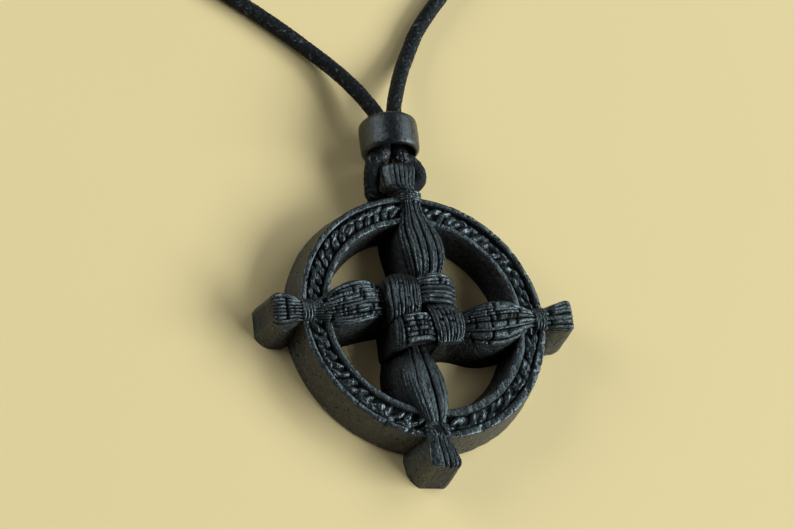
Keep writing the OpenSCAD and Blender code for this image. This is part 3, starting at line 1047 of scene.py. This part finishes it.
def make_bead():
    """The turned barrel bead, with rounded mouths and faint turning marks."""
    half, steps = 2.25, 128
    # Radius, and distance from the end, of the outside and of the mouth
    outside = [
        (3.25, 0.0), (3.4, 0.03), (3.53, 0.1), (3.64, 0.22), (3.71, 0.38), (3.75, 0.56),
        (3.775, 0.8), (3.79, 1.1), (3.8, 1.5), (3.805, 1.9),
    ]
    mouth = [(3.1, 0.03), (3.0, 0.1), (2.93, 0.2), (BEAD_BORE, 0.34)]
    profile = [(r, v - half) for r, v in outside] + [(3.81, 0)]
    profile += [(r, half - v) for r, v in outside[::-1] + mouth]
    profile += [(BEAD_BORE, 0.7), (BEAD_BORE, -0.7)] + [(r, v - half) for r, v in mouth[::-1]]
    profile = np.array(profile)
    angle = turns(steps)[:, None]
    radius, place = (np.repeat(profile[None, :, k], steps, 0) for k in (0, 1))
    skin = 0.02 * noise(place / 0.5, np.cos(angle) * 5, np.sin(angle) * 5, seed=21)
    skin = skin - 0.02 - 0.015 * (1 + np.cos(2 * angle + 0.6))
    radius += np.where(radius > 3.4, skin, 0)
    points = np.stack([radius * np.cos(angle), place, radius * np.sin(angle)], -1) + BEAD_MIDDLE
    faces = ring_faces(steps, len(profile), closed=True)
    bead = make_mesh("bead_turned", points.reshape(-1, 3), faces)
    smooth(bead, 60)
    bead.data.materials.append(bead_material())
    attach(bead, "root")
    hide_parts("bead")


# Cord and knot. The route has the CAD's points, set a little closer to the photograph
# between the cross hole and the bead. A point without a height lies on the surface

ROUTE = np.array([spot if len(spot) == 3 else (*spot, CORD_D / 2) for spot in (
    KNOT_START, (-21, 270.4, 1.5), (-46, 261), (-71, 241), (-90, 213), (-99, 181), (-99, 148),
    (-90, 116), (-71, 87), (-48, 65), (-26, 49.3), (-15.8, 42.6), (-9.2, 37.5, 1.3),
    (-5.8, 33.8, 2.1), (-3.5, 30, 3.1), (-2.25, 26.8, 3.6), (-2.65, 22.7, 3.6),
    (-3.8, 21.5, 3.8), (-4.3, 19.8, 3.6), (-4.1, 18.2, 2.6), (-3.3, 17.35, 1.9),
    (0.8, 18.45, 2.8), (2.05, 19.15, 3), (2.25, 20.15, 3.2), (1.85, 21, 3.35),
    (1, 21.65, 3.45), (-0.25, 22.7, 3.5), (-0.1, 26.8, 3.6), (0.2, 30.4, 3.1),
    (3.8, 39, 1.25), (9.4, 48), (32, 76), (53, 101), (69, 130), (77, 161), (77, 192),
    (67, 222), (48, 247), (24, 264.5), (3, 270.6, 1.5),
    (KNOT_START[0] + KNOT_LENGTH, *KNOT_START[1:]),
)])
# The braid is modelled near the pendant, and fades out between these two places along Y
BRAID_ENDS = (52, 80)


def route_line(points, step, far_step):
    """The smooth curve through the points, and the length at each of its own. Its steps are
    short where the braid is modelled and long round the loop."""
    fine = []
    last = len(points) - 1
    for i in range(last):
        a, b, c, d = (points[min(max(k, 0), last)] for k in (i - 1, i, i + 1, i + 2))
        t = np.linspace(0, 1, 61)[:-1, None]
        fine.append(0.5 * (
            2 * b + (c - a) * t + (2 * a - 5 * b + 4 * c - d) * t ** 2
            + (3 * b - a - 3 * c + d) * t ** 3
        ))
    fine = np.concatenate(fine + [points[-1:]])
    length = np.concatenate([[0], np.cumsum(np.linalg.norm(np.diff(fine, axis=0), axis=1))])
    near = 1 - ease(fine[:, 1], *BRAID_ENDS)
    pace = 1 / (step * near + far_step * (1 - near))
    count = np.concatenate([[0], np.cumsum(0.5 * (pace[1:] + pace[:-1]) * np.diff(length))])
    rows = np.linspace(0, count[-1], int(count[-1]) + 1)
    at = np.interp(rows, count, length)
    return np.stack([np.interp(at, length, fine[:, k]) for k in range(3)], 1), at


def weave(along, turn, shake=0):
    """The braid's threads, which cross as they wind both ways round the cord."""
    slant = TAU * along / BRAID_PITCH
    return np.sin(8 * turn + slant + shake) * np.sin(8 * turn - slant + shake)


def tube(name, line, at, radius_of, sides, material):
    """A tube of the given line, with flat ends and a UV layer that goes round and along it."""
    side, up = (v[:, None] for v in square_to(unit(np.gradient(line, axis=0))))
    turn = turns(sides)[None]
    out = side * np.cos(turn)[..., None] + up * np.sin(turn)[..., None]
    rings = line[:, None] + radius_of(at[:, None], turn)[..., None] * out
    count = len(line)
    skin = count * sides
    points = np.concatenate([rings.reshape(-1, 3), line[:1], line[-1:]])
    faces = ring_faces(count, sides) + fan(0, sides, skin, flip=True)
    faces += fan(skin - sides, sides, skin + 1)
    body = make_mesh(name, points, faces)
    layer = body.data.uv_layers.new(name="braid")
    corner = np.zeros(len(body.data.loops), np.int64)
    body.data.loops.foreach_get("vertex_index", corner)
    around = (corner % sides) / sides
    along = np.where(corner < skin, at[np.clip(corner // sides, 0, count - 1)], 0)
    # The last face of each ring closes on 1 and not on 0
    starts = 4 * (np.arange(1, count) * sides - 1)
    for k in range(4):
        around[starts + k] += around[starts + k] < 0.5
    uv = np.stack([around, along / BRAID_PITCH], 1)
    layer.data.foreach_set("uv", uv.astype(np.float32).ravel())
    smooth(body, 70)
    body.data.materials.append(material)
    return body


def make_cord(material):
    line, at = route_line(ROUTE, 0.17, 0.75)
    y = line[:, 1:2]

    def radius_of(along, turn):
        c, s = np.cos(turn), np.sin(turn)
        shake = 2.5 * noise(along / 0.8, c * 1.5, s * 1.5, seed=34)
        uneven = noise(along / 3.0, c * 1.2, s * 1.2, seed=33)
        frayed = noise(along / 0.38, c * 3, s * 3, seed=35)
        soft = 0.035 * weave(along, turn, shake) + 0.02 * uneven + 0.03 * frayed
        # The strands are swollen where they come out of the bead
        swollen = 0.25 * bell(y, 22.5, 0.8)
        return CORD_D / 2 - 0.06 + (1 - ease(y, *BRAID_ENDS)) * soft + swollen

    cord = tube("neck_cord_braided", line, at, radius_of, 32, material)
    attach(cord, "root")
    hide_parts("neck_cord")


def make_knot(material):
    """The plain wrapped knot that closes the loop: slanting turns of the same cord."""
    at = np.linspace(0, KNOT_LENGTH, 121)
    line = np.stack([at, 0 * at, 0 * at], 1) + KNOT_START

    def radius_of(along, turn):
        hump = np.clip(np.minimum(along, KNOT_LENGTH - along) / 1.6, 0, 1) ** 0.5
        wrap = np.abs(np.sin(math.pi * (along / 1.8) + turn / 2)) ** 0.55
        return 1.0 + (1.14 * hump) * (0.72 + 0.28 * wrap) + 0.02 * weave(along, turn)

    knot = tube("cord_knot_wrapped", line, at, radius_of, 64, material)
    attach(knot, "root")
    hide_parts("cord_knot")


make_pendant()
make_bead()
cord_look = cord_material("waxed_cord")
make_cord(cord_look)
make_knot(cord_look)


# Floor and light, in metres

FLOOR_HALF = 5
FLOOR_DROP = 0.00002
LIT_SPOT = (0, 0.008, 0)
LAMP_DISTANCE = 3.6


def make_floor():
    h = FLOOR_HALF
    mesh = bpy.data.meshes.new("floor")
    mesh.from_pydata([(-h, -h, 0), (h, -h, 0), (h, h, 0), (-h, h, 0)], [], [(0, 1, 2, 3)])
    mesh.materials.append(floor_material())
    floor = add_object("floor", mesh)
    floor.location = (0, 0, -FLOOR_DROP)


def add_light(name, way, size, power, colour):
    """A lamp, wide and high as size says, that shines on the pendant from the direction way."""
    lamp = bpy.data.lights.new(name, "AREA")
    lamp.shape = "RECTANGLE"
    lamp.size, lamp.size_y = size
    lamp.energy = power
    lamp.color = colour
    body = add_object(name, lamp)
    way = Vector(way).normalized()
    body.location = Vector(LIT_SPOT) + way * LAMP_DISTANCE
    body.rotation_mode = "QUATERNION"
    body.rotation_quaternion = way.to_track_quat("Z", "Y")


make_floor()
add_light("window", (0.78, -0.3, 0.49), (3.27, 1.64), 193, (0.78, 0.93, 1.0))
add_light("room", (-0.78, 0.4, 0.4), (2.52, 1.44), 51, (0.80, 0.94, 1.0))
add_light("side", (0.7, 0.38, 0.58), (1.96, 1.47), 43, (0.78, 0.93, 1.0))
world = bpy.data.worlds.new("world")
world.use_nodes = True
sky = world.node_tree.nodes["Background"].inputs
sky["Color"].default_value = (0.80, 0.90, 1.0, 1)
sky["Strength"].default_value = 0.07
bpy.context.scene.world = world
bpy.context.scene.view_settings.view_transform = "Standard"
